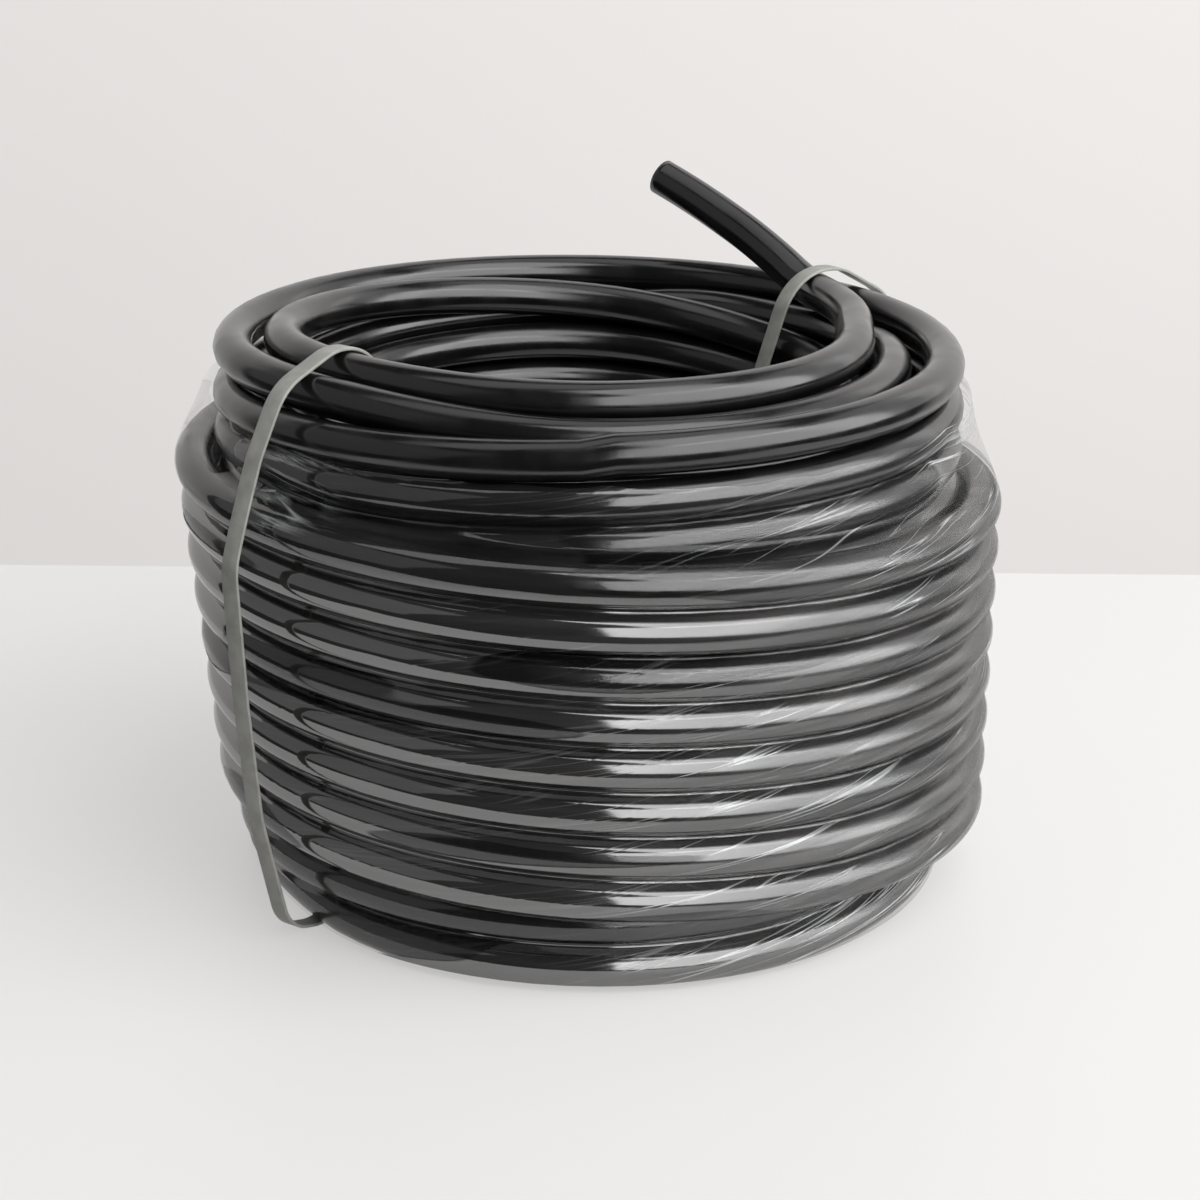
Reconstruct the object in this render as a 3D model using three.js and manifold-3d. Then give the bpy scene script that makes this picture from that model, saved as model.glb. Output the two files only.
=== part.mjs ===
// Soaker hose: one length of smooth black hose wound into a coil of four layers, held by two
// nylon ties and a stretch film wrap.  Millimetres, +Z up.  The coil stands on the floor at z = 0,
// with its axis on z, and -Y is the front.

import * as THREE from 'three';
import * as BufferGeometryUtils from 'three/addons/utils/BufferGeometryUtils.js';
import Module from 'manifold-3d';

// ---- Driving dimensions ----

const hoseDiameter = 16;
const hoseWall = 1.5;
const layerGap = 0.8;           // between one layer of turns and the next
const outerRowGap = 2.6;        // between one row and the next in the outermost layer
const middleRowGap = 1.3;       // the same in the layer inside it
const middleRows = 12;          // rows below the rim row
const innerRows = 8;
const outerRows = 8;
const innerTurnRadius = 112;    // centreline of the innermost layer, above the shoulder
const shoulderHeight = 185;     // below this the coil narrows and leans
const footNarrowing = 11.5;     // loss of radius from the shoulder to the floor
const footLean = 9;             // sideways shift of the foot, towards +X

const tieWidth = 7.6;
const tieThickness = 1.3;
const tieHeadWidth = 11;
const tieHeadDepth = 6;
const tieHeadHeight = 10;
const tieTailLength = 7;
const tieHeadRise = 70;         // height of each tie's head, on the bore side
const frontTieTurn = 51 / 360;  // where each tie goes round, clockwise from the front
const backTieTurn = 231 / 360;

const filmThickness = 0.5;
const filmDip = 2.6;            // how far the film sinks between two rows
const filmTop = 203;
const filmFoot = 5;
const filmEndRun = 0.12;        // turns over which the film comes down past the hose's outer end

const clearance = 0.3;          // between pieces that touch
const filmClearance = 0.6;      // between the film and the hose's faceted turns
const coreClearance = 0.6;      // between the plain middle turns and the turns that are wound
const stepsPerTurn = 24;
const sidesPerTurn = 6;

// ---- What follows from them ----

const hoseRadius = hoseDiameter / 2;
const boreRadius = hoseRadius - hoseWall;
const flatRadius = hoseRadius * Math.cos(Math.PI / sidesPerTurn);
const layerSpacing = hoseDiameter + layerGap;
const outerPitch = hoseDiameter + outerRowGap;
const middlePitch = hoseDiameter + middleRowGap;
const lowestRow = tieThickness + clearance + flatRadius + 0.1;
const rimHeight = lowestRow + middleRows * middlePitch;

// ---- The route of the hose ----

// Turns are counted clockwise from above, with whole numbers at the front.

const clamp01 = value => Math.min(1, Math.max(0, value));
const smooth = value => clamp01(value) ** 2 * (3 - 2 * clamp01(value));
const mix = (a, b, share) => a + (b - a) * share;

// Each turn lies level and steps over to the next row round one place, the crossing.
function rowsPassed(turn, crossing, width) {
  const along = turn - crossing + 0.5;
  const whole = Math.floor(along);
  return whole + smooth((along - whole - 0.5) / width + 0.5);
}

function layerRadius(layer, height) {
  const below = clamp01(1 - height / shoulderHeight);
  return innerTurnRadius + layer * layerSpacing - footNarrowing * below;
}

const lean = height => footLean * clamp01(1 - height / shoulderHeight);

function place(turn, layer, height) {
  const angle = 2 * Math.PI * turn;
  const radius = layerRadius(layer, height);
  return new THREE.Vector3(lean(height) - radius * Math.sin(angle), -radius * Math.cos(angle), height);
}

// A smooth run through stations of [turn, layer, height in hose diameters above the base].
function along(stations, turn, base = rimHeight) {
  let i = 1;
  while (i < stations.length - 1 && turn > stations[i][0]) i += 1;
  const [before, after] = [stations[i - 1], stations[i]];
  const share = (turn - before[0]) / (after[0] - before[0]);
  const slope = (k, axis) => {
    const [p, q] = [stations[Math.max(0, k - 1)], stations[Math.min(stations.length - 1, k + 1)]];
    return (q[axis] - p[axis]) / (q[0] - p[0]) * (after[0] - before[0]);
  };
  const value = axis => {
    const [a, b] = [before[axis], after[axis]];
    const [u, v] = [slope(i - 1, axis), slope(i, axis)];
    const s = share;
    return a + u * s + (3 * (b - a) - 2 * u - v) * s ** 2 + (u + v - 2 * (b - a)) * s ** 3;
  };
  return [value(1), base + hoseDiameter * value(2)];
}

// The crown turn: from the tie at the back, round on top of the coil, then down inside it.
const crown = [
  [0.655, 0.62, 0.50], [0.70, 0.18, 0.50], [0.75, -0.20, 0.50], [1.00, 0.00, 0.60], [1.12, 0.20, 0.62],
  [1.25, 0.77, 0.42], [1.375, 0.56, 0.06], [1.45, 0.26, -0.18], [1.51, 0.10, -0.40],
  [1.56, 0.05, -0.64], [1.625, 0.02, -0.96], [1.75, 0.00, -1.38],
];

// The rim: up from below at the back, round inside, then out to lie along the coil's top edge.
const rim = [
  [0.51, 1.01, -0.80], [0.56, 1.11, -0.60], [0.61, 1.06, -0.62], [0.66, 0.98, -0.56],
  [0.71, 0.80, -0.32], [0.75, 0.70, -0.14], [1.00, 0.80, -0.06], [1.12, 1.26, 0.30],
  [1.25, 2.00, 0.24], [1.50, 1.97, 0.00], [1.75, 1.97, 0.00], [1.90, 1.94, 0.00], [2.00, 1.92, -0.10],
];

// The foot: the third layer bulges out, drops to the floor, shows once more in front as the lowest
// strip, and climbs at the back to start the fourth.
const foot = [
  [-0.15, 1.99, 1.09], [-0.08, 2.22, 1.06], [0.00, 2.47, 1.06], [0.125, 2.70, 1.13], [0.20, 2.72, 1.06],
  [0.25, 2.60, 1.05], [0.29, 2.38, 1.00], [0.33, 2.16, 0.90], [0.38, 2.04, 0.74], [0.46, 2.02, 0.42],
  [0.56, 2.02, 0.08], [0.64, 2.02, 0.00], [0.72, 2.02, 0.00], [0.80, 2.04, 0.00], [0.86, 2.20, 0.00],
  [0.92, 2.40, 0.00], [1.00, 2.55, 0.00], [1.08, 2.64, 0.00], [1.12, 2.60, 0.00], [1.16, 2.42, 0.00],
  [1.20, 2.44, 0.00], [1.25, 2.70, 0.00], [1.29, 2.91, 0.02], [1.33, 3.03, 0.13], [1.40, 3.08, 0.42],
  [1.50, 3.03, 0.85], [1.625, 3.00, 1.16],
];

const innerCrossing = 0.625;
const innerCrossingWidth = 0.35;
const middleCrossing = 0.125;
const middleCrossingWidth = 0.4;
const outerCrossing = 0.92;
const outerCrossingWidth = 0.6;

const coilStart = crown[0][0];
const innerStart = crown[crown.length - 1][0];
const innerEnd = innerCrossing + 1 + innerRows + 0.1;
const riseStart = innerEnd + 0.15;
const rimTurn = Math.round(innerEnd);               // the whole turn that the rim's stations follow
const rimStart = rimTurn + rim[0][0];
const rimEnd = rimTurn + rim[rim.length - 1][0];
const dropStart = rimEnd + 2;                       // after three rows of the middle layer
const footTurn = dropStart + 1;                     // the whole turn that the foot's stations follow
const footStart = footTurn + foot[0][0];
const outerStart = footTurn + foot[foot.length - 1][0];
const coilEnd = footTurn + 1.5 + outerRows;

const innerTop = along(crown, innerStart)[1];
const innerDrop = turn => rowsPassed(turn, innerCrossing, innerCrossingWidth);
const innerPitch = (innerTop - lowestRow) / (innerDrop(innerEnd + 0.2) - innerDrop(innerStart));
const outerPassed = turn => 1 + rowsPassed(turn, outerCrossing, outerCrossingWidth) - Math.floor(outerStart);
const outerHeight = turn => lowestRow + outerPitch * outerPassed(turn);
const middleHeight = turn =>
  rimHeight - middlePitch * (rowsPassed(turn, middleCrossing, middleCrossingWidth) - rimTurn - 2);

function route(turn) {
  if (turn <= innerStart) return along(crown, turn);
  if (turn < innerEnd) return [0, innerTop - innerPitch * (innerDrop(turn) - innerDrop(innerStart))];
  if (turn < rimStart) {
    const layer = mix(0.99 * smooth((turn - innerEnd) / (riseStart + 0.07 - innerEnd)), rim[0][1], smooth((turn - rimStart + 0.12) / 0.08));
    const share = smooth((turn - riseStart) / (rimStart - riseStart));
    const from = innerTop - innerPitch * (innerDrop(turn) - innerDrop(innerStart));
    const [, top] = along(rim, rim[0][0]);
    return [layer, mix(Math.max(from, lowestRow), top, share)];
  }
  if (turn <= rimEnd) return along(rim, turn - rimTurn);
  if (turn < footStart) {
    const layer = mix(rim[rim.length - 1][1], foot[0][1], smooth((turn - rimEnd) / 0.25));
    const [, bottom] = along(foot, foot[0][0], lowestRow);
    const share = smooth((turn - dropStart) / (footStart - dropStart));
    return [layer, mix(middleHeight(turn), bottom, share)];
  }
  if (turn < outerStart) return along(foot, turn - footTurn, lowestRow);
  return [3, outerHeight(turn)];
}

const coilPoint = turn => place(turn, ...route(turn));

// The coil's points: a straight diameter at its start, then a step every 15 degrees.
function coilPoints(from, to, straight = 0) {
  const first = from + straight / (2 * Math.PI * coilPoint(from).length());
  const turns = [from, first];
  for (let k = Math.ceil((first + 0.5 / stepsPerTurn) * stepsPerTurn); k / stepsPerTurn < to - 1e-6; k += 1) {
    turns.push(k / stepsPerTurn);
  }
  turns.push(to);
  return [...new Set(turns)].map(coilPoint);
}

const coilCourse = coilPoints(coilStart, coilEnd, hoseDiameter);

// The free end goes straight on from the coil under the back tie, then stands up behind it.
const leaving = coilCourse[0].clone().sub(coilCourse[1]).normalize();
const freeEndPoints = [
  ...[clearance, 0.5 * hoseDiameter, hoseDiameter].map(run => coilCourse[0].clone().addScaledVector(leaving, run)),
  ...[
    [-0.69, 1.43, 0.19], [-1.06, 1.88, 0.45], [-1.50, 2.31, 0.75], [-2.01, 2.76, 1.08], [-2.58, 3.21, 1.41],
    [-3.16, 3.68, 1.72], [-3.76, 4.13, 2.02], [-4.37, 4.58, 2.30],
  ].map(step => coilCourse[0].clone().addScaledVector(new THREE.Vector3(...step), hoseDiameter)),
];

// ---- Solids ----

const wasm = await Module();
wasm.setup();

function meshed(geometry) {
  const bare = geometry.clone();
  bare.deleteAttribute('normal');
  bare.deleteAttribute('uv');
  const merged = BufferGeometryUtils.mergeVertices(bare, 1e-4);
  const index = merged.index ?? [...Array(merged.attributes.position.count).keys()];
  return new wasm.Manifold(new wasm.Mesh({
    numProp: 3,
    vertProperties: new Float32Array(merged.attributes.position.array),
    triVerts: new Uint32Array(index.array ?? index),
  }));
}

function geometryOf(solid) {
  const { vertProperties, triVerts } = solid.getMesh();
  return faceted([...vertProperties], [...triVerts]);
}

function faceted(positions, triangles) {
  const geometry = new THREE.BufferGeometry();
  geometry.setAttribute('position', new THREE.Float32BufferAttribute(positions, 3));
  geometry.setIndex(triangles);
  geometry.computeVertexNormals();
  return geometry;
}

// A solid tube with a corner of its section pointing away from the coil's axis.
function tube(points, radius) {
  const positions = [];
  points.forEach((point, i) => {
    const before = points[Math.max(0, i - 1)];
    const after = points[Math.min(points.length - 1, i + 1)];
    const ahead = after.clone().sub(before).normalize();
    const up = new THREE.Vector3(point.x, point.y, 0).cross(ahead).normalize();
    const outward = ahead.clone().cross(up);
    for (let k = 0; k < sidesPerTurn; k += 1) {
      const angle = 2 * Math.PI * k / sidesPerTurn;
      const corner = point.clone();
      corner.addScaledVector(outward, radius * Math.cos(angle)).addScaledVector(up, radius * Math.sin(angle));
      positions.push(...corner);
    }
  });
  const triangles = [];
  const last = (points.length - 1) * sidesPerTurn;
  for (let k = 0; k < sidesPerTurn; k += 1) {
    const next = (k + 1) % sidesPerTurn;
    for (let ring = 0; ring < last; ring += sidesPerTurn) {
      const far = ring + sidesPerTurn;
      triangles.push(ring + k, far + next, ring + next, ring + k, far + k, far + next);
    }
    if (k > 0 && next > 0) triangles.push(0, k, next, last, last + next, last + k);
  }
  return faceted(positions, triangles);
}

// The least distance between two runs of the hose half a turn or more apart, skin to skin.
function leastGap(points) {
  const samples = [];
  for (let i = 1; i < points.length; i += 1) {
    for (let k = 0; k < 4; k += 1) samples.push(points[i - 1].clone().lerp(points[i], k / 4));
  }
  let least = Infinity;
  for (let i = 0; i < samples.length; i += 1) {
    for (let j = i + 2 * stepsPerTurn; j < samples.length; j += 1) {
      least = Math.min(least, samples[i].distanceTo(samples[j]));
    }
  }
  return least - hoseDiameter;
}

function coil() {
  console.log('least gap of the coil to itself', leastGap(coilCourse).toFixed(2), 'mm');
  return tube(coilCourse, hoseRadius);
}

function freeEnd() {
  const section = new THREE.Shape().absarc(0, 0, hoseRadius, 0, 2 * Math.PI);
  section.holes.push(new THREE.Path().absarc(0, 0, boreRadius, 0, 2 * Math.PI));
  const extrudePath = new THREE.CatmullRomCurve3(freeEndPoints, false, 'chordal');
  return new THREE.ExtrudeGeometry(section, { extrudePath, steps: 14, curveSegments: 6 });
}

// The turns hidden between the inner and outer layers, as one plain ring with the runs that
// climb and drop through it cut out, and a groove under it for each tie.
const coreShell = hoseRadius + coreClearance;
const inside = height => layerRadius(0, height) + coreShell;
const outside = height => layerRadius(3, height) - coreShell;

function middleTurns() {
  const step = layerRadius(2, shoulderHeight) - coreShell;
  const ledge = rimHeight - 2 * middlePitch - coreShell;
  const top = along(rim, rim[0][0])[1] - hoseDiameter;
  const underside = along(foot, outerStart - footTurn, lowestRow)[1] + coreShell;
  const footReach = height => layerRadius(foot[0][1], height) - coreShell;
  const profile = [
    [inside(0), 0], [footReach(0), 0], [footReach(underside), underside], [outside(underside), underside],
    [outside(ledge), ledge],
    [step, ledge], [step, top], [inside(top), top], [inside(0), 0],
  ].map(([radius, height]) => new THREE.Vector2(radius, height));
  const ring = new THREE.LatheGeometry(profile, stepsPerTurn).rotateX(Math.PI / 2);
  const position = ring.attributes.position;
  for (let i = 0; i < position.count; i += 1) position.setX(i, position.getX(i) + lean(position.getZ(i)));
  let solid = meshed(ring);
  const channel = hoseRadius + coreClearance / Math.cos(Math.PI / sidesPerTurn);
  const reach = 0.1;
  for (const [from, to] of [[innerEnd - reach, rimStart + reach], [dropStart - reach, footStart + reach]]) {
    solid = solid.subtract(meshed(tube(coilPoints(from, to), channel)));
  }
  for (const turn of [frontTieTurn, backTieTurn]) {
    const depth = tieThickness + clearance;
    const groove = new THREE.BoxGeometry(4 * layerSpacing + hoseDiameter, depth * 2, tieWidth + 2 * clearance);
    groove.translate(layerRadius(1.5, 0), 0, 0).applyMatrix4(sectionFrame(turn));
    solid = solid.subtract(meshed(groove));
  }
  return geometryOf(solid);
}

// The frame of an upright section through the coil's axis: x outward, y up, z along the turns.
function sectionFrame(turn) {
  const angle = 2 * Math.PI * turn;
  const outward = new THREE.Vector3(-Math.sin(angle), -Math.cos(angle), 0);
  const up = new THREE.Vector3(0, 0, 1);
  return new THREE.Matrix4().makeBasis(outward, up, outward.clone().cross(up));
}

// ---- The film ----

// The hose under the film in the upright section at a turn: height and radius of each pass.  Past
// the coil's end the top row's place falls to the row below it.
function passesUnderFilm(turn) {
  const passes = [];
  for (let at = Math.ceil(rimEnd - 0.75 - turn) + turn; at < coilEnd + filmEndRun; at += 1) {
    const [layer, height] = route(at);
    const fall = outerPitch * smooth((at - coilEnd) / filmEndRun);
    passes.push([height - fall, layerRadius(layer, height)]);
  }
  return passes.sort((p, q) => p[0] - q[0]);
}

// The film lies tight over the passes that stand out furthest, sinks a little between them, and
// hangs straight below the lowest.
function filmRadius(turn, height) {
  const shell = hoseRadius + filmClearance;
  const passes = passesUnderFilm(turn);
  const proud = [];
  for (const pass of passes) {
    while (proud.length > 1) {
      const [a, b] = proud.slice(-2);
      if ((b[1] - a[1]) * (pass[0] - a[0]) > (pass[1] - a[1]) * (b[0] - a[0])) break;
      proud.pop();
    }
    proud.push(pass);
  }
  const at = Math.max(height, passes[0][0]);
  let radius = 0;
  for (const [level, out] of passes) {
    const rise = at - level;
    if (Math.abs(rise) < shell) radius = Math.max(radius, out + Math.sqrt(shell ** 2 - rise ** 2));
  }
  for (let i = 1; i < proud.length; i += 1) {
    const [a, b] = [proud[i - 1], proud[i]];
    const length = Math.hypot(b[0] - a[0], b[1] - a[1]);
    const [up, out] = [shell * (a[1] - b[1]) / length, shell * (b[0] - a[0]) / length];
    const share = (at - up - a[0]) / (b[0] - a[0]);
    if (share < 0 || share > 1) continue;
    const dip = filmDip * Math.sin(Math.PI * share) ** 2;
    radius = Math.max(radius, mix(a[1], b[1], share) + out - dip);
  }
  return radius;
}

const filmLevels = Math.round((filmTop - filmFoot) / (outerPitch / 4));
const filmLevel = k => mix(filmFoot, filmTop, k / filmLevels);

function film() {
  const positions = [];
  for (let step = 0; step < stepsPerTurn; step += 1) {
    const turn = step / stepsPerTurn;
    const angle = 2 * Math.PI * turn;
    for (let k = 0; k <= filmLevels; k += 1) {
      const height = filmLevel(k);
      for (const radius of [filmRadius(turn, height), filmRadius(turn, height) + filmThickness]) {
        positions.push(lean(height) - radius * Math.sin(angle), -radius * Math.cos(angle), height);
      }
    }
  }
  const triangles = [];
  const column = 2 * (filmLevels + 1);
  const square = (a, b, c, d) => triangles.push(a, c, b, a, d, c);
  for (let step = 0; step < stepsPerTurn; step += 1) {
    const here = step * column;
    const there = (step + 1) % stepsPerTurn * column;
    for (let k = 0; k < filmLevels; k += 1) {
      const [low, high] = [2 * k, 2 * k + 2];
      square(here + low, here + high, there + high, there + low);
      square(there + low + 1, there + high + 1, here + high + 1, here + low + 1);
    }
    square(here, there, there + 1, here + 1);
    square(here + column - 2, here + column - 1, there + column - 1, there + column - 2);
  }
  return faceted(positions, triangles);
}

// ---- The ties ----

// Where the hose passes through an upright section moved aside along the turns: how far out, how
// high, and half the width of its slanted cut.
function crossings(turn, aside) {
  const toSection = sectionFrame(turn).invert();
  const places = [];
  for (const course of [coilCourse, freeEndPoints]) {
    const local = course.map(point => point.clone().applyMatrix4(toSection));
    for (let i = 1; i < local.length; i += 1) {
      const [a, b] = [local[i - 1].z - aside, local[i].z - aside];
      if (a * b > 0 || a === b || local[i].x < 0) continue;
      const hit = local[i - 1].clone().lerp(local[i], a / (a - b));
      places.push([hit.x, hit.y, hoseRadius * local[i].distanceTo(local[i - 1]) / Math.abs(a - b)]);
    }
  }
  return places;
}

// The outline that a tight band takes round everything in the section, offset outwards.
function bandOutline(turn, offset, floor) {
  const points = [];
  for (const aside of [-tieWidth / 2, 0, tieWidth / 2]) {
    for (const [out, height, halfCut] of crossings(turn, aside)) {
      const reach = halfCut + offset;
      for (let k = 0; k < stepsPerTurn; k += 1) {
        const angle = 2 * Math.PI * k / stepsPerTurn;
        points.push([out + reach * Math.cos(angle), height + reach * Math.sin(angle)]);
      }
    }
  }
  for (let k = 0; k <= filmLevels; k += 1) {
    const height = filmLevel(k);
    const radius = filmRadius(turn, height) + filmThickness + offset;
    const shift = -lean(height) * Math.sin(2 * Math.PI * turn);
    points.push([radius + shift, height], [radius + shift, height + (k === filmLevels ? offset : 0)]);
  }
  points.forEach(point => { point[1] = Math.max(point[1], floor); });
  const shift = -lean(0) * Math.sin(2 * Math.PI * turn);
  const innerWall = inside(0) * Math.cos(Math.PI / stepsPerTurn) - offset;
  points.push([innerWall + shift, floor], [outside(0) + offset + shift, floor]);
  return hull(points);
}

function hull(points) {
  const sorted = [...points].sort((p, q) => p[0] - q[0] || p[1] - q[1]);
  const turnOf = (o, a, b) => (a[0] - o[0]) * (b[1] - o[1]) - (a[1] - o[1]) * (b[0] - o[0]);
  const half = run => {
    const chain = [];
    for (const point of run) {
      while (chain.length > 1 && turnOf(chain[chain.length - 2], chain[chain.length - 1], point) <= 0.05) chain.pop();
      chain.push(point);
    }
    return chain.slice(0, -1);
  };
  return [...half(sorted), ...half(sorted.reverse())];
}

const shapeOf = points => new THREE.Shape(points.map(([x, y]) => new THREE.Vector2(x, y)));

function slab(shape, width) {
  return meshed(new THREE.ExtrudeGeometry(shape, { depth: width, bevelEnabled: false }).translate(0, 0, -width / 2));
}

// One nylon tie: a closed band pulled tight round the coil, its head, and the short cut tail.
function tie(turn, headInside) {
  const outer = bandOutline(turn, clearance + tieThickness, 0);
  const inner = bandOutline(turn, clearance, tieThickness);
  const band = slab(shapeOf(outer), tieWidth).subtract(slab(shapeOf(inner), tieWidth + 2));
  const side = headInside ? -1 : 1;
  const face = levelReach(outer, tieHeadRise, side) - side * tieThickness / 2;
  const out = face + side * (tieHeadDepth + tieThickness / 2);
  const chamfer = 1.2;
  const half = tieHeadHeight / 2;
  const head = shapeOf([
    [face, tieHeadRise - half], [out - side * chamfer, tieHeadRise - half], [out, tieHeadRise - half + chamfer],
    [out, tieHeadRise + half - chamfer], [out - side * chamfer, tieHeadRise + half], [face, tieHeadRise + half],
  ]);
  const tailAt = face + side * (tieHeadDepth / 2 + tieThickness / 2);
  const tailTop = tieHeadRise + half + tieTailLength;
  const tail = shapeOf([
    [tailAt, tieHeadRise], [tailAt + side * tieThickness, tieHeadRise],
    [tailAt + side * tieThickness, tailTop], [tailAt, tailTop],
  ]);
  const solid = band.add(slab(head, tieHeadWidth)).add(slab(tail, tieWidth - 1));
  return geometryOf(solid).applyMatrix4(sectionFrame(turn));
}

// How far an outline reaches inwards or outwards at one height.
function levelReach(outline, height, side) {
  const reaches = outline.flatMap((p, i) => {
    const q = outline[(i + 1) % outline.length];
    const share = (height - p[1]) / (q[1] - p[1]);
    return share >= 0 && share <= 1 ? [side * mix(p[0], q[0], share)] : [];
  });
  return side * Math.max(...reaches);
}

// ---- The assembly ----

const hoseBlack = new THREE.MeshStandardMaterial({ color: 0x0b0b0c, roughness: 0.32, metalness: 0 });
const nylonNatural = new THREE.MeshStandardMaterial({ color: 0x9c9c94, roughness: 0.45, metalness: 0 });
const clearFilm = new THREE.MeshStandardMaterial({
  color: 0x8a8684, roughness: 0.15, metalness: 0, transparent: true, opacity: 0.3,
});

const group = new THREE.Group();

function add(name, geometry, material) {
  const mesh = new THREE.Mesh(geometry, material);
  mesh.name = name;
  group.add(mesh);
}

add('hose_free_end', freeEnd(), hoseBlack);
add('hose_coil', coil(), hoseBlack);
add('hose_middle_turns', middleTurns(), hoseBlack);
add('tie_front', tie(frontTieTurn, true), nylonNatural);
add('tie_back', tie(backTieTurn, false), nylonNatural);
add('film_wrap', film(), clearFilm);

export default group;
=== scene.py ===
# A soaker hose in its shop coil: one long black hose wound in four layers, two nylon ties that hold
# the winding together, and the stretch film round it.  Metres, +Z up, -Y is the front.

import math

import bmesh
import bpy
from mathutils import Matrix, Vector, noise


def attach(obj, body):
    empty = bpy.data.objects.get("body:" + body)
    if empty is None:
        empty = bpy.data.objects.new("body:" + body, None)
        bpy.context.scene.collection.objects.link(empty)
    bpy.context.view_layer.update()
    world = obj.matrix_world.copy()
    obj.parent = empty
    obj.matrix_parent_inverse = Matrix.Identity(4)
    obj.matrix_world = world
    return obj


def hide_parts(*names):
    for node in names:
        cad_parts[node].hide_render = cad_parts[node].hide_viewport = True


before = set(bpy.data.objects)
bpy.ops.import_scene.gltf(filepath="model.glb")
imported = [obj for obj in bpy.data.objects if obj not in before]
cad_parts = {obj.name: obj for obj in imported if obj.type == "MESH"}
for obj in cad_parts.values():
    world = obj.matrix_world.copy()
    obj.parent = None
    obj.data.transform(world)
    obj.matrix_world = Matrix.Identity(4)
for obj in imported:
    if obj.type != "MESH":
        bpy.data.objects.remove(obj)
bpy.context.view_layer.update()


# ---- Camera ------------------------------------------------------------------------------------
# It stands 1.3 m off with a long lens and looks down on the coil, as the photographer did.

camera = bpy.data.objects.new("camera", bpy.data.cameras.new("camera"))
camera.data.sensor_width = 36
camera.data.lens = 92.7
camera.location = (0.0053, -1.2292, 0.5322)
camera_aim = Vector((0.0053, 0, 0.109))
camera.rotation_euler = (camera_aim - camera.location).to_track_quat("-Z", "Y").to_euler()
camera.rotation_euler.rotate_axis("Z", math.radians(0.48))      # the photograph is that far out of level
bpy.context.collection.objects.link(camera)
bpy.context.scene.camera = camera


# ---- The hose ----------------------------------------------------------------------------------
# One length of smooth black polyethylene tube, extruded and wound warm on a drum: down inside, up,
# down and up again outside, with the last loops thrown loosely on top and the cut end standing up.

hose_diameter = 0.016
hose_wall = 0.0015
layer_spacing = hose_diameter + 0.0008
outer_pitch = hose_diameter + 0.00245
middle_pitch = hose_diameter + 0.0012
middle_rows = 12
inner_rows = 11
outer_rows = 8
inner_turn_radius = 0.112
shoulder_height = 0.185
foot_narrowing = 0.0115
foot_lean = 0.009
lowest_row = 0.0098
rim_height = lowest_row + middle_rows * middle_pitch

# Where in a turn each layer's rows cross to the next, and round how much of the turn.
inner_crossing = 0.625, 0.35
middle_crossing = 0.125, 0.6
outer_crossing = 0.92, 0.6


def smooth(share):
    """0 to 1, with a soft start and end."""
    share = min(max(share, 0), 1)
    return share * share * (3 - 2 * share)


def mix(low, high, share):
    return low + (high - low) * share


def rows_passed(turn, crossing, width):
    """Rows laid by this turn."""
    along = turn - crossing + 0.5
    return math.floor(along) + smooth((along % 1 - 0.5) / width + 0.5)


def layer_radius(layer, height):
    """The coil is a little narrower towards its foot."""
    narrowing = foot_narrowing * min(max(1 - height / shoulder_height, 0), 1)
    return inner_turn_radius + layer * layer_spacing - narrowing


def lean(height):
    """How far the lower rows lie to the right, because the coil has slumped a little."""
    return foot_lean * min(max(1 - height / shoulder_height, 0), 1)


def place(turn, layer, height):
    """A point of the winding.  Whole turns are at the front, and turns count clockwise from above."""
    radius, angle = layer_radius(layer, height), 2 * math.pi * turn
    return Vector((lean(height) - radius * math.sin(angle), -radius * math.cos(angle), height))


# Where the loose loops lie: turn, layer, and rise above the rim in hose diameters.
crown = [(0.655, 0.62, 0.50), (0.70, 0.18, 0.50), (0.75, -0.20, 0.50), (1.00, 0.00, 0.60),
         (1.12, 0.20, 0.62), (1.25, 0.77, 0.42), (1.375, 0.56, 0.06), (1.45, 0.26, -0.18),
         (1.51, 0.10, -0.40), (1.56, 0.05, -0.64), (1.625, 0.02, -0.96), (1.75, 0.00, -1.38)]
rim = [(0.51, 1.01, -0.80), (0.56, 1.11, -0.60), (0.61, 1.06, -0.62), (0.66, 0.98, -0.56),
       (0.71, 0.80, -0.32), (0.75, 0.70, -0.14), (1.00, 0.80, -0.06), (1.12, 1.26, 0.30),
       (1.25, 2.00, 0.24), (1.50, 1.97, 0.00), (1.75, 1.97, 0.00), (1.90, 1.94, 0.00),
       (2.00, 1.92, -0.10)]


def along(stations, turn, base=rim_height):
    """Layer and height at a turn, on a smooth line through the stations."""
    k = 1
    while k < len(stations) - 1 and stations[k][0] < turn:
        k += 1
    a, b = stations[k - 1], stations[k]
    before, after = stations[max(k - 2, 0)], stations[min(k + 1, len(stations) - 1)]
    t = (turn - a[0]) / (b[0] - a[0])
    result = []
    for i in (1, 2):
        leave = (b[i] - before[i]) / (b[0] - before[0]) * (b[0] - a[0])
        arrive = (after[i] - a[i]) / (after[0] - a[0]) * (b[0] - a[0])
        result.append((2 * t ** 3 - 3 * t * t + 1) * a[i] + (t ** 3 - 2 * t * t + t) * leave
                      + (3 * t * t - 2 * t ** 3) * b[i] + (t ** 3 - t * t) * arrive)
    return result[0], base + hose_diameter * result[1]


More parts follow.
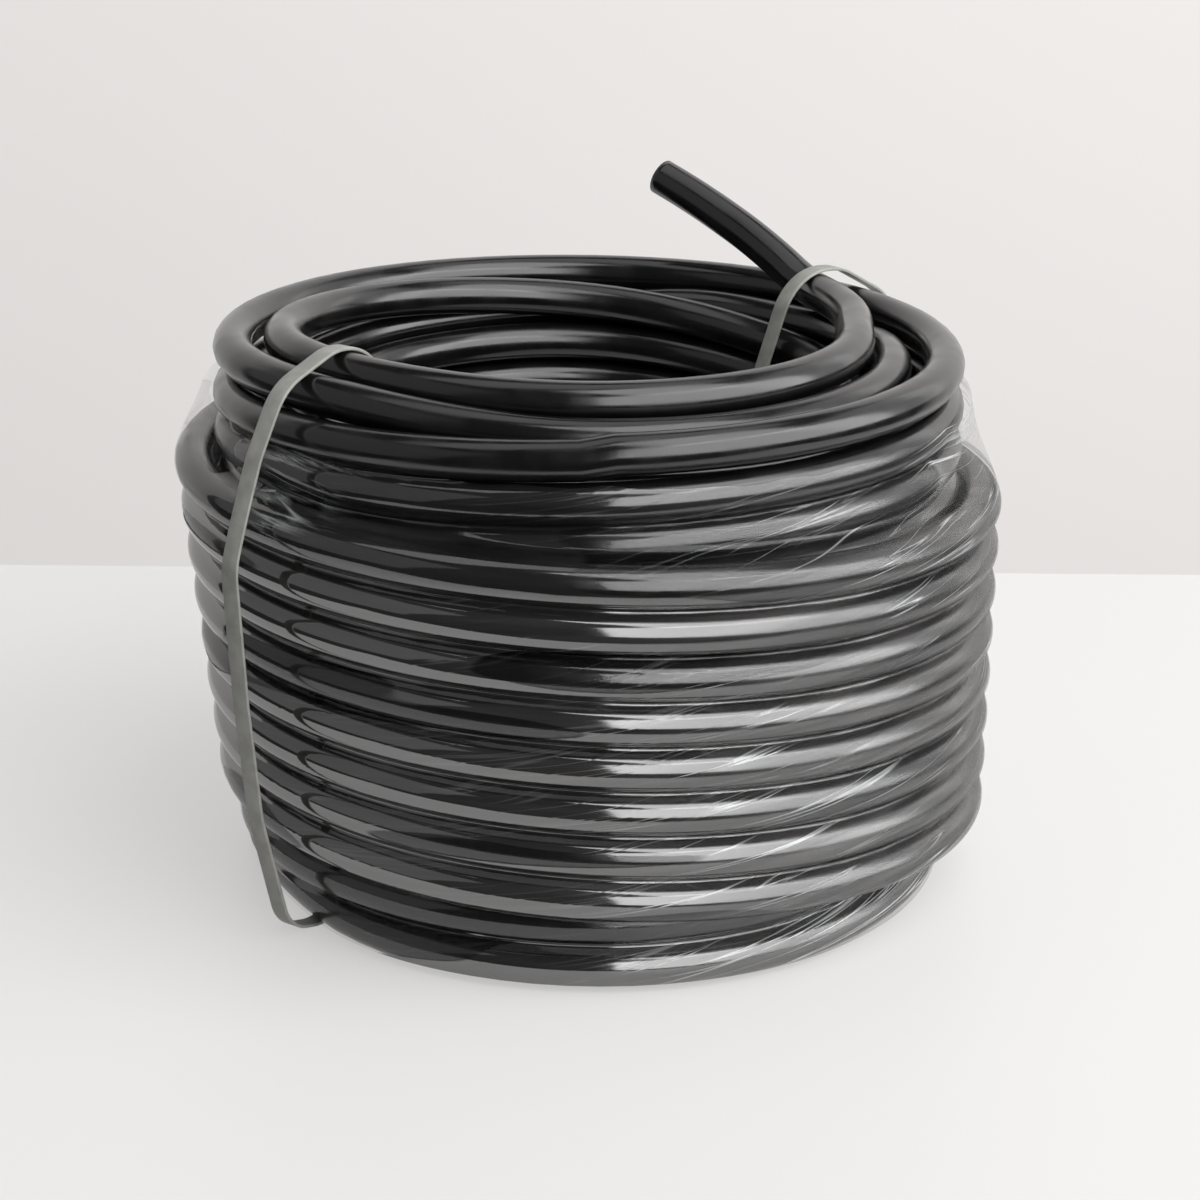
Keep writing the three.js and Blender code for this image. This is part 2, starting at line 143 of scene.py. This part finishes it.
# At the foot the third layer bulges out, drops to the table, shows once more in front as the lowest
# strip, and climbs at the back to start the fourth: turn, layer, and rise above the table row.
foot = [(-0.15, 1.99, 1.09), (-0.08, 2.22, 1.06), (0.00, 2.47, 1.06), (0.125, 2.70, 1.13),
        (0.20, 2.72, 1.06), (0.25, 2.60, 1.05), (0.29, 2.38, 1.00), (0.33, 2.16, 0.90),
        (0.38, 2.04, 0.74), (0.46, 2.02, 0.42), (0.56, 2.02, 0.08), (0.64, 2.02, 0.00),
        (0.72, 2.02, 0.00), (0.80, 2.04, 0.00), (0.86, 2.20, 0.00), (0.92, 2.40, -0.05),
        (1.00, 2.55, -0.07), (1.08, 2.64, -0.05), (1.12, 2.60, 0.00), (1.16, 2.42, 0.00),
        (1.20, 2.44, 0.00), (1.25, 2.70, 0.00), (1.29, 2.91, 0.02), (1.33, 3.03, 0.13),
        (1.40, 3.08, 0.42), (1.50, 3.03, 0.85), (1.62, 3.00, 1.16)]

coil_start = crown[0][0]
inner_start = crown[-1][0]
inner_end = inner_crossing[0] + 1 + inner_rows + 0.1
rise_start = inner_end + 0.15
rim_turn = round(inner_end) + 11
rim_start = rim_turn + rim[0][0]
rim_end = rim_turn + rim[-1][0]
foot_turn = rim_end + middle_rows - 1
outer_start = foot_turn + foot[-1][0]
coil_end = foot_turn + 1.5 + outer_rows
inner_top = along(crown, inner_start)[1]


def inner_height(turn):
    before = rows_passed(inner_start, *inner_crossing)
    pitch = (inner_top - lowest_row) / (rows_passed(inner_end + 0.2, *inner_crossing) - before)
    return inner_top - pitch * (rows_passed(turn, *inner_crossing) - before)


def middle_height(turn):
    turns = 0.97 * (turn - rim_end)     # each crossing lies a little further round than the one above
    return max(rim_height - middle_pitch * rows_passed(turns, *middle_crossing), lowest_row)


def outer_height(turn):
    rows = rows_passed(turn, *outer_crossing) - rows_passed(outer_start, *outer_crossing)
    return lowest_row + outer_pitch * (1 + rows)


def route(turn):
    """Layer and height of the hose at a turn."""
    if turn <= inner_start:
        return along(crown, turn)
    if turn < inner_end:
        return 0, inner_height(turn)
    if turn < rim_start:        # it moves out to the second layer, and rises in it to the rim
        second = 0.99 * smooth((turn - inner_end) / 0.22)
        layer = mix(second, rim[0][1], smooth((turn - rim_start + 0.12) / 0.08))
        top = along(rim, rim[0][0])[1]
        risen = max(turn - rise_start, 0) / (rim_start - rise_start)
        return layer, mix(max(inner_height(turn), lowest_row), top, risen)
    if turn <= rim_end:
        return along(rim, turn - rim_turn)
    if turn < foot_turn + foot[0][0]:
        return mix(rim[-1][1], foot[0][1], smooth((turn - rim_end) / 0.25)), middle_height(turn)
    if turn < outer_start:
        return along(foot, turn - foot_turn, lowest_row)
    return 3, outer_height(turn)


steps_per_turn = 72
coil_steps = int((coil_end - coil_start) * steps_per_turn) + 1
coil_turns = [coil_start + k / steps_per_turn for k in range(coil_steps)]
coil_course = [place(turn, *route(turn)) for turn in coil_turns]

# The free end goes on from the first loop, under the back tie, and stands up behind it.
leaving = (coil_course[0] - coil_course[1]).normalized()
free_end = [coil_course[0] + leaving * run for run in (0.008, 0.016)]
free_end += [coil_course[0] + hose_diameter * Vector(step) for step in (
    (-0.69, 1.43, 0.19), (-1.06, 1.88, 0.45), (-1.50, 2.31, 0.75), (-2.01, 2.76, 1.08), (-2.58, 3.21, 1.41),
    (-3.16, 3.68, 1.72), (-3.76, 4.13, 2.02), (-4.37, 4.58, 2.30))]


def rounded(points, steps):
    """The points on a smooth line through these ones."""
    made = []
    for k in range(len(points) - 1):
        a, b = points[k], points[k + 1]
        before, after = points[max(k - 1, 0)], points[min(k + 2, len(points) - 1)]
        for step in range(steps):
            t = step / steps
            made.append(0.5 * (2 * a + (b - before) * t + (2 * before - 5 * a + 4 * b - after) * t * t
                               + (3 * a - before - 3 * b + after) * t ** 3))
    return made + [points[-1]]


hose_course = list(reversed(coil_course)) + rounded([coil_course[0]] + free_end, 4)[1:]
hose_length = sum((b - a).length for a, b in zip(hose_course, hose_course[1:]))

course = bpy.data.curves.new("hose", "CURVE")
course.dimensions = "3D"
course.bevel_depth = hose_diameter / 2
course.bevel_resolution = 10
course.twist_mode = "Z_UP"
spline = course.splines.new("POLY")
spline.points.add(len(hose_course) - 1)
for point, spot in zip(spline.points, hose_course):
    point.co = (*spot, 1)
spline.use_smooth = True
drawn = bpy.data.objects.new("hose_line", course)
bpy.context.collection.objects.link(drawn)
tube = bpy.data.meshes.new_from_object(drawn.evaluated_get(bpy.context.evaluated_depsgraph_get()))
bpy.data.objects.remove(drawn)

# Both ends are cut square, and show the wall of the tube and its bore.
bore_steps = 12         # steps of the course that the bore is open for
hose_mesh = bmesh.new()
hose_mesh.from_mesh(tube)


def extruded(edges):
    """New edges and vertices, drawn out from these edges."""
    grown = bmesh.ops.extrude_edge_only(hose_mesh, edges=edges)["geom"]
    made = [item for item in grown if isinstance(item, bmesh.types.BMEdge)]
    return made, [item for item in grown if isinstance(item, bmesh.types.BMVert)]


for end, *inwards in (hose_course[:-2 - bore_steps:-1], hose_course[:1 + bore_steps]):
    mouth = [e for e in hose_mesh.edges if e.is_boundary and (e.verts[0].co - end).length < hose_diameter]
    edges, ring = extruded(mouth)
    for v in ring:
        v.co = end + (v.co - end) * (1 - 2 * hose_wall / hose_diameter)
    reached = end
    for deeper in inwards:
        edges, ring = extruded(edges)
        bmesh.ops.translate(hose_mesh, vec=deeper - reached, verts=ring)
        reached = deeper
    bmesh.ops.holes_fill(hose_mesh, edges=edges)
bmesh.ops.recalc_face_normals(hose_mesh, faces=hose_mesh.faces)
for face in hose_mesh.faces:
    face.smooth = True
hose_mesh.to_mesh(tube)
hose_mesh.free()
hose = bpy.data.objects.new("hose", tube)
bpy.context.collection.objects.link(hose)


class Socket:
    """A shader value that can be added, multiplied and so on as a number can."""

    def __init__(self, tree, link):
        self.tree, self.link = tree, link

    def node(self, kind, out=0, setup=(), **inputs):
        """A new node with these settings and inputs.  An input called i0 is the first, and so on."""
        made = self.tree.nodes.new("ShaderNode" + kind)
        for name, value in dict(setup).items():
            setattr(made, name, value)
        for name, value in inputs.items():
            numbered = name[0] == "i" and name[1:].isdigit()
            socket = made.inputs[int(name[1:]) if numbered else name.replace("_", " ")]
            if isinstance(value, Socket):
                self.tree.links.new(value.link, socket)
            else:
                socket.default_value = value
        return Socket(self.tree, made.outputs[out])

    def output(self, name):
        """Another output of the node that this value comes from."""
        return Socket(self.tree, self.link.node.outputs[name])

    def into(self, shader, name):
        self.tree.links.new(self.link, shader.inputs[name])

    def math(self, operation, a, b=0.0):
        return self.node("Math", setup={"operation": operation}, i0=a, i1=b)

    def __add__(self, other):
        return self.math("ADD", self, other)

    def __radd__(self, other):
        return self.math("ADD", other, self)

    def __sub__(self, other):
        return self.math("SUBTRACT", self, other)

    def __rsub__(self, other):
        return self.math("SUBTRACT", other, self)

    def __mul__(self, other):
        return self.math("MULTIPLY", self, other)

    def __rmul__(self, other):
        return self.math("MULTIPLY", other, self)

    def between(self, low, high):
        """0 at the low value, 1 at the high one, and smooth in between."""
        setup = {"interpolation_type": "SMOOTHSTEP"}
        return self.node("MapRange", setup=setup, Value=self, From_Min=low, From_Max=high)

    def blend(self, low, high):
        """From one colour to the other by this share."""
        return self.node("Mix", out=2, setup={"data_type": "RGBA"}, i0=self, i6=low, i7=high)


def new_material(name):
    """A material, its Principled shader, and Object coordinates."""
    material = bpy.data.materials.new(name)
    material.use_nodes = True
    tree = material.node_tree
    shader = tree.nodes["Principled BSDF"]
    where = Socket(tree, tree.nodes.new("ShaderNodeTexCoord").outputs["Object"])
    return material, tree, shader, where


black_hose, tree, shader, where = new_material("black_polyethylene")
shader.inputs["IOR"].default_value = 1.72
haze = where.node("TexNoise", Vector=where, Scale=60.0, Detail=4.0)
grain = where.node("TexNoise", Vector=where, Scale=900.0, Detail=3.0)
(0.17 + 0.10 * haze.between(0.35, 0.7)).into(shader, "Roughness")
shade = haze.between(0.3, 0.8).blend((0.004, 0.004, 0.0045, 1), (0.007, 0.0068, 0.0066, 1))
shade.into(shader, "Base Color")
where.node("Bump", Strength=0.05, Distance=0.0002, Height=grain).into(shader, "Normal")
hose.data.materials.clear()
hose.data.materials.append(black_hose)

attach(hose, "root")
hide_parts("hose_coil", "hose_free_end", "hose_middle_turns")
tuple(hose_course[0])
[tuple(p) for p in hose_course]


# ---- The film ----------------------------------------------------------------------------------
# Clear stretch film, wound tight in a few overlapping turns round the outer layer and up over the
# shoulder.  It clings to the rows that stand out, spans the grooves, and is creased where it was pulled.

film_top, film_foot = rim_height - 0.013, 0.0035
film_columns, film_levels = 384, 236
film_reach = hose_diameter / 2 + 0.0004     # from the middle of a row to the film on it
film_step = 0.00025                         # its upright section is taken at these steps
film_samples = int((film_top + 0.004 - film_foot) / film_step)
film_margin = 8                             # and this many more past each end
cling_depth = 0.004                         # film this far off the hose doesn't cling at all
end_fade = 0.12                             # turns over which the hose's hidden end drops away

# How deep the film sinks: between neighbouring rows, over wider gaps, and where it is pulled taut.
groove_dip = 0.0072
loose_sag = 0.045
taut_sag = 0.002
taut_above = 0.15


def passes_under_film(turn):
    """Height and radius of each pass of the hose under the film, in the upright section at a turn."""
    passes = []
    at = math.ceil(rim_end - 0.75 - turn) + turn
    while at < coil_end + end_fade:
        layer, height = route(at)
        height -= outer_pitch * smooth((at - coil_end) / end_fade)
        if layer > 1.7:         # the layers within are never touched
            passes.append((height, layer_radius(layer, height)))
        at += 1
    return sorted(passes)


def proud_passes(passes):
    """Those passes that a taut film touches, or misses by a hair."""
    proud = []
    for level, out in passes:
        while len(proud) > 1:
            (z0, r0), (z1, r1) = proud[-2:]
            if (r1 - r0) * (level - z0) > (out - r0) * (z1 - z0) - 1e-5:
                break
            proud.pop()
        proud.append((level, out))
    return proud


def film_radius(passes, proud, height, dip, slack):
    """How far out the film lies: on the hose, or sunk into a groove, or sagging over the shoulder."""
    at = max(height, passes[0][0])
    radius = 0
    for level, out in passes:
        if abs(at - level) < film_reach:
            radius = max(radius, out + math.sqrt(film_reach ** 2 - (at - level) ** 2))
    for spans in (zip(proud, proud[1:]), zip(passes, passes[1:])):
        for (z0, r0), (z1, r1) in spans:
            length = math.hypot(z1 - z0, r1 - r0)
            share = (at - film_reach * (r0 - r1) / length - z0) / max(z1 - z0, 0.001)
            if 0 <= share <= 1:
                loose = slack if z1 > taut_above else loose_sag
                wide = smooth((length / outer_pitch - 1.15) / 0.5)
                sunk = mix(dip, loose, wide) * math.sin(math.pi * share) ** 2
                radius = max(radius, mix(r0, r1, share) + film_reach * (z1 - z0) / length - sunk)
    if height < at:             # below the lowest pass the film turns in under it
        radius -= 0.25 * (at - height)
    return radius


def evened(values, reach):
    """Each value averaged with its neighbours this far off."""
    spans = [values[max(k - reach, 0):k + reach + 1] for k in range(len(values))]
    return [sum(span) / len(span) for span in spans]


film_mesh = bmesh.new()
cling = film_mesh.verts.layers.float.new("cling")
rings = []
for column in range(film_columns):
    turn = 0.5 + column / film_columns
    passes = passes_under_film(turn)
    proud = proud_passes(passes)
    angle = 2 * math.pi * turn
    around = Vector((math.cos(angle), math.sin(angle), 0))
    dip = groove_dip + 0.0010 * noise.noise(around * 2.3)
    # At the far left and right the film is a taut web that stands off the shoulder.
    slack = mix(loose_sag, taut_sag, smooth((abs(around.y) - 0.80) / 0.15))
    top = film_top + 0.0022 * noise.noise(around * 1.7 + Vector((0, 0, 5))) + 0.001 * noise.noise(around * 9)
    # The section is evened out, because the film bends into a groove in a round.
    heights = [film_foot + k * film_step for k in range(-film_margin, film_samples + film_margin + 1)]
    profile = [film_radius(passes, proud, height, dip, slack) for height in heights]
    for reach in (3, 2):
        profile = evened(profile, reach)
    ring = []
    for level in range(film_levels + 1):
        height = mix(film_foot, top, level / film_levels)
        k = (height - film_foot) / film_step + film_margin
        radius = mix(profile[int(k)], profile[int(k) + 1], k % 1)
        shift = lean(height)
        v = film_mesh.verts.new((shift - radius * math.sin(angle), -radius * math.cos(angle), height))
        off = min(math.hypot(height - z, radius - r) for z, r in passes) - hose_diameter / 2
        v[cling] = 1 - min(off / cling_depth, 1)
        ring.append(v)
    rings.append(ring)
uv = film_mesh.loops.layers.uv.new("film")
for column in range(film_columns):
    here, there = rings[column], rings[(column + 1) % film_columns]
    for level in range(film_levels):
        face = film_mesh.faces.new((here[level], here[level + 1], there[level + 1], there[level]))
        face.smooth = True
        for loop, (across, up) in zip(face.loops, ((0, 0), (0, 1), (1, 1), (1, 0))):
            loop[uv].uv = (column + across) / film_columns, (level + up) / film_levels
bmesh.ops.recalc_face_normals(film_mesh, faces=film_mesh.faces)
film_data = bpy.data.meshes.new("film")
film_mesh.to_mesh(film_data)
film_mesh.free()
film = bpy.data.objects.new("film", film_data)
bpy.context.collection.objects.link(film)

clear_film, tree, shader, where = new_material("stretch_film")
unwound = Socket(tree, tree.nodes.new("ShaderNodeUVMap").outputs["UV"])
unwound.link.node.uv_map = "film"
around = unwound.node("SeparateXYZ", Vector=unwound)
up = around.output("Y")
held = Socket(tree, tree.nodes.new("ShaderNodeAttribute").outputs["Fac"])
held.link.node.attribute_name = "cling"
at_x = where.node("SeparateXYZ", Vector=where)
at_y, at_z = at_x.output("Y"), at_x.output("Z")

# The film is dark and clear at the left and back.  At the right, where the light from the right catches it,
# it has a painted sheen: its colour is painted paler and it is made more opaque.
right = around.between(0.54, 0.36) * around.between(0.0, 0.12)


def streaks(along_film, across_film, slope=0.0, seed=0.0, detail=3.0):
    """Noise drawn out along the film, which can climb to the right."""
    across = (at_z - at_x * slope) * across_film + seed
    spot = where.node("CombineXYZ", X=at_x * along_film, Y=at_y * along_film, Z=across)
    return where.node("TexNoise", Vector=spot, Scale=1.0, Detail=detail, Roughness=0.55)


def thin_lines(value, width):
    """1 where the noise passes its middle, falling to 0 at that width."""
    off = value.math("ABSOLUTE", value - 0.5)
    return value.math("MAXIMUM", 1.0 - off * (1 / width), 0.0)


# Relief: a soft waviness, fine ripples, pulled creases, and a crumpled spot beside the front tie.
broad = streaks(5.0, 110.0, seed=3.1)
ripples = streaks(5.0, 300.0, 0.07, 9.0, 1.0)
gentle = thin_lines(streaks(4.0, 210.0, 0.15, 1.3, 2.0), 0.016)
steep = thin_lines(streaks(3.0, 150.0, 0.25, 7.7, 1.0), 0.010)
creases = (gentle * streaks(7.0, 40.0, seed=5.0).between(0.42, 0.54)
           + steep * streaks(6.0, 30.0, seed=6.4).between(0.52, 0.60))
# The creases are drawn mostly at the right, where the light from the right catches them.
creases = creases * (0.12 + 0.88 * right)
crumpled_spot = (-0.116, -0.112, 0.196)
apart = where.node("VectorMath", out=1, setup={"operation": "DISTANCE"}, i0=where, i1=crumpled_spot)
crumple = thin_lines(streaks(14.0, 300.0, -0.12, 4.4, 3.0), 0.07) * apart.between(0.034, 0.010)

# What shows of the film: bands of grey where it clings at the left, and at the right a painted sheen, where
# the film is made more opaque as the light from the right catches it.
haze = streaks(16.0, 260.0, seed=21.0)
clung = held.between(0.1, 0.75)
web = up.between(0.80, 0.86)
patch = streaks(5.0, 43.0, seed=12.0, detail=1.0).between(0.44, 0.45)
sheen = 0.10 + 0.26 * streaks(6.0, 190.0, 0.10, 17.0, 3.0).between(0.40, 0.60)
shown = 0.08 + 0.80 * patch * (1.0 - right) + right * sheen
shown = 0.08 + clung * shown * (1.0 - 0.6 * web) + 0.06 * haze
(shown + 0.6 * creases + 0.5 * crumple).into(shader, "Alpha")
(0.07 + right * (0.10 + 0.26 * haze)).into(shader, "Roughness")
shader.inputs["IOR"].default_value = 2.6        # several layers of film shine more than one

# A painted sheen: the film's colour is painted paler at the right, where the light from the right falls on
# it.
painted_sheen = right * (0.10 + 0.90 * streaks(5.0, 170.0, 0.06, 31.0, 3.0).between(0.35, 0.65))
# The creases and the crumpled spot are painted pale: partly whitened film, and partly a painted glint on the
# creases where the light from the right catches them.
pale_folds_and_glints = creases + crumple
colour = (patch * haze.between(0.2, 0.8)).blend((0.008, 0.008, 0.008, 1), (0.030, 0.028, 0.027, 1))
colour = painted_sheen.blend(colour, (0.085, 0.080, 0.078, 1))
colour = pale_folds_and_glints.math("MINIMUM", pale_folds_and_glints, 1.0).blend(colour, (0.42, 0.44, 0.44, 1))
colour.into(shader, "Base Color")
height = broad + 0.15 * right * ripples + 0.3 * creases + 0.4 * crumple
where.node("Bump", Strength=1.0, Distance=0.0002, Height=height).into(shader, "Normal")
film_data.materials.append(clear_film)

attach(film, "root")
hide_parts("film_wrap")


# ---- The ties ----------------------------------------------------------------------------------
# Two cable ties of milky nylon round the whole coil, through its bore.  Each has a moulded head with
# a slot, and a short cut tail; the front one has its head inside the bore.

tie_width, tie_thickness = 0.0076, 0.0013
tie_gap = 0.0004
tie_rounding = 0.016        # a stiff strap bends no tighter; this also holds it some way off the coil
tie_steps = 420
tie_head_rise = 0.07
tie_head = 0.0030, 0.0055, 0.0050       # half its size outward, across the strap and up
tie_lip = 0.0018, 0.0044, 0.0006        # the rim of the slot, on the head
tie_tail = tie_thickness / 2, 0.0033, 0.0035
film_probes = 60            # heights at which a strap's place on the film is taken
circle_points = 64


def hull(points):
    """The points that a band pulled round them all would touch."""
    points = sorted(points)

    def half(run):
        chain = []
        for p in run:
            while len(chain) > 1 and ((chain[-1][0] - chain[-2][0]) * (p[1] - chain[-2][1])
                                      - (chain[-1][1] - chain[-2][1]) * (p[0] - chain[-2][0])) <= 1e-9:
                chain.pop()
            chain.append(p)
        return chain[:-1]
    return half(points) + half(points[::-1])


def tie_path(bearing, offset):
    """The middle line of a band round the coil in an upright plane, as steps outward and up.

    The offset is how far beside the coil's axis the plane stands."""
    outward = Vector((-math.sin(bearing), -math.cos(bearing), 0))
    aside = outward.cross(Vector((0, 0, 1)))
    spots = []
    for where_at in (offset - tie_width / 2, offset + tie_width / 2):
        for a, b in zip(hose_course, hose_course[1:]):
            da, db = a.dot(aside) - where_at, b.dot(aside) - where_at
            if da * db <= 0 and da != db and a.dot(outward) > 0:
                p = a.lerp(b, da / (da - db))
                spots.append((p.dot(outward), p.z, hose_diameter / 2))
        for k in range(film_probes):
            z, run = mix(film_foot, film_top, k / (film_probes - 1)), 0.15
            axis = Vector((lean(z), 0, 0))
            for attempt in range(4):        # the radius there depends a little on the place
                spot = outward * run + aside * where_at - axis
                passes = passes_under_film(math.atan2(-spot.x, -spot.y) / (2 * math.pi) % 1)
                radius = film_radius(passes, proud_passes(passes), z, 0, 0)
                run = axis.dot(outward) + math.sqrt(radius ** 2 - (where_at - axis.dot(aside)) ** 2)
            spots.append((run, z, 0.0004))
    reach = tie_gap + tie_thickness / 2
    middle = Vector((sum(x for x, z, r in spots) / len(spots), 0.11))
    points = []
    for x, z, r in spots:
        centre = Vector((x, z)) - (Vector((x, z)) - middle).normalized() * tie_rounding
        radius = r + tie_rounding + reach
        for k in range(circle_points):
            a = 2 * math.pi * k / circle_points
            points.append((centre.x + radius * math.cos(a), centre.y + radius * math.sin(a)))
    lowest = tie_thickness / 2 + 0.0001
    outline = hull([(x, max(z, lowest)) for x, z in points])
    # Even steps round the outline.
    lengths = [math.dist(p, q) for p, q in zip(outline, outline[1:] + outline[:1])]
    total, line, k, run = sum(lengths), [], 0, 0
    for step in range(tie_steps):
        target = total * step / tie_steps
        while run + lengths[k] < target:
            run, k = run + lengths[k], k + 1
        t = (target - run) / lengths[k]
        p, q = outline[k], outline[(k + 1) % len(outline)]
        line.append(Vector((mix(p[0], q[0], t), mix(p[1], q[1], t))))
    return outward, aside, middle.x, line


def rounded_box(mesh, centre, axes, half, bevel):
    """A block with these half sizes along the axes, and bevelled edges."""
    made = bmesh.ops.create_cube(mesh, size=2)["verts"]
    grid = Matrix((axes[0] * half[0], axes[1] * half[1], axes[2] * half[2])).transposed()
    for v in made:
        v.co = centre + grid @ v.co
    edges = {e for v in made for e in v.link_edges}
    bmesh.ops.bevel(mesh, geom=list(edges), offset=bevel, segments=2, profile=0.5, affect="EDGES")


def make_tie(name, bearing, offset, inside):
    """The strap, its head on the inner or outer run, and the end of its tail."""
    outward, aside, middle, line = tie_path(bearing, offset)
    beside, up = aside * offset, Vector((0, 0, 1))
    mesh = bmesh.new()
    uv = mesh.loops.layers.uv.new("strap")
    half_w, half_t, corner = tie_width / 2, tie_thickness / 2, 0.00035
    section = []
    for cx, cy, start in ((1, 1, 0), (-1, 1, 90), (-1, -1, 180), (1, -1, 270)):
        for k in range(4):
            a = math.radians(start + 30 * k)
            section.append((cx * (half_w - corner) + corner * math.cos(a),
                            cy * (half_t - corner) + corner * math.sin(a)))
    rings = []
    for k, p in enumerate(line):
        ahead = (line[(k + 1) % len(line)] - line[k - 1]).normalized()
        normal = Vector((ahead.y, -ahead.x))
        if normal.dot(p - Vector((middle, 0.1))) < 0:
            normal.negate()
        ring = []
        for w, t in section:
            q = p + normal * t
            ring.append(mesh.verts.new(beside + outward * q.x + up * q.y + aside * w))
        rings.append(ring)
    n = len(section)
    for k in range(len(rings)):
        here, there = rings[k], rings[(k + 1) % len(rings)]
        for i in range(n):
            face = mesh.faces.new((here[i], there[i], there[(i + 1) % n], here[(i + 1) % n]))
            face.smooth = True
            for loop, (across, on) in zip(face.loops, ((0, 0), (0, 1), (1, 1), (1, 0))):
                loop[uv].uv = (i + across) / n, (k + on) / len(rings)
    # The head stands on the strap's outer face, and the cut tail comes out of its slot.
    side = -1 if inside else 1
    at = min((p for p in line if (p.x < middle) == inside), key=lambda p: abs(p.y - tie_head_rise))
    face_x = at.x + side * half_t
    head = beside + outward * (face_x + side * 0.0029) + up * tie_head_rise
    axes = outward, aside, up
    rounded_box(mesh, head, axes, tie_head, 0.0007)
    rounded_box(mesh, head + up * 0.0052, axes, tie_lip, 0.0003)
    tail = beside + outward * (face_x + side * 0.0032) + up * (tie_head_rise + 0.0085)
    rounded_box(mesh, tail, axes, tie_tail, 0.0003)
    bmesh.ops.recalc_face_normals(mesh, faces=mesh.faces)
    data = bpy.data.meshes.new(name)
    mesh.to_mesh(data)
    mesh.free()
    tie = bpy.data.objects.new(name, data)
    bpy.context.collection.objects.link(tie)
    data.materials.append(nylon)
    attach(tie, "root")
    return tie


nylon, tree, shader, where = new_material("natural_nylon")
cloud = where.node("TexNoise", Vector=where, Scale=140.0, Detail=4.0)
scuff = where.node("TexNoise", Vector=where, Scale=900.0, Detail=3.0)
cloudy = cloud.between(0.3, 0.7).blend((0.28, 0.28, 0.258, 1), (0.36, 0.36, 0.335, 1))
cloudy.into(shader, "Base Color")
(0.34 + 0.14 * cloud).into(shader, "Roughness")
shader.inputs["Subsurface Weight"].default_value = 0.25
shader.inputs["Subsurface Radius"].default_value = (1.0, 1.0, 0.9)
shader.inputs["Subsurface Scale"].default_value = 0.0015
where.node("Bump", Strength=0.15, Distance=0.0001, Height=scuff).into(shader, "Normal")
front_tie = make_tie("front_tie", math.radians(35.5), 0.0378, True)
back_tie = make_tie("back_tie", math.radians(231), 0.0, False)
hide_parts("tie_front")
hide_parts("tie_back")


# ---- Table, wall and light ---------------------------------------------------------------------
# A white table whose far edge shows behind the coil, and a pale wall some way beyond it.

def plain(name, colour, roughness, pale):
    """A plain pale surface, which shows a little paler than the lamps make it."""
    material, tree, shader, where = new_material(name)
    shader.inputs["Base Color"].default_value = (*colour, 1)
    shader.inputs["Roughness"].default_value = roughness
    ray = where.node("LightPath")       # its first output, Is Camera Ray
    seen = ray.math("MAXIMUM", ray, ray.output("Is Glossy Ray"))
    seen = ray.math("MAXIMUM", seen, ray.output("Is Transmission Ray"))
    seen.blend((0, 0, 0, 1), (*pale, 1)).into(shader, "Emission Color")
    shader.inputs["Emission Strength"].default_value = 1
    return material


def board(name, place_at, size, material):
    """A flat rectangle in this place."""
    mesh = bmesh.new()
    bmesh.ops.create_grid(mesh, x_segments=1, y_segments=1, size=0.5)
    bmesh.ops.transform(mesh, matrix=place_at @ Matrix.Diagonal((*size, 1, 1)), verts=mesh.verts)
    data = bpy.data.meshes.new(name)
    mesh.to_mesh(data)
    mesh.free()
    made = bpy.data.objects.new(name, data)
    bpy.context.collection.objects.link(made)
    data.materials.append(material)
    return made


white_table = plain("white_table", (0.35, 0.348, 0.345), 0.5, (0.475, 0.468, 0.464))
table = board("table", Matrix.Translation((0, 0.0035, 0)), (1.0, 0.727), white_table)
pale_wall = plain("pale_wall", (0.48, 0.47, 0.465), 0.8, (0.47, 0.452, 0.442))
upright = Matrix.Rotation(math.pi / 2, 4, "X")
wall = board("wall", Matrix.Translation((0, 1.75, 0)) @ upright, (6, 4), pale_wall)

# The room is pale to look at, but lights the coil no more than a dim one would.
world = bpy.data.worlds.new("room")
bpy.context.scene.world = world
world.use_nodes = True
room = world.node_tree.nodes["Background"]
ray = Socket(world.node_tree, world.node_tree.nodes.new("ShaderNodeLightPath").outputs["Is Camera Ray"])
ray.blend((0.045, 0.045, 0.047, 1), (0.80, 0.785, 0.775, 1)).into(room, "Color")


def lamp(name, spot, aim, size, power):
    """A rectangular lamp, in watts, that faces what it aims at."""
    made = bpy.data.lights.new(name, "AREA")
    made.shape = "RECTANGLE"
    made.size, made.size_y = size
    made.energy = power
    holder = bpy.data.objects.new(name, made)
    holder.location = spot
    holder.rotation_euler = (Vector(aim) - Vector(spot)).to_track_quat("-Z", "Y").to_euler()
    bpy.context.collection.objects.link(holder)


lamp("window", (1.6, -1.25, 1.3), (0, 0, 1.3), (4.2, 2.4), 100)
lamp("skylight", (0.9, -0.7, 2.4), (0, 0, 0.1), (1.8, 1.6), 26)
lamp("far_wall", (-2.1, -0.35, 1.1), (0, 0, 0.1), (3.4, 2.4), 6)
lamp("near_wall", (2.1, 0.55, 1.2), (0, 0, 0.3), (2.6, 2.4), 16)
lamp("ceiling", (-0.2, 0.3, 2.2), (0, 0, 0.1), (2.4, 1.0), 6)

bpy.context.scene.view_settings.view_transform = "Standard"
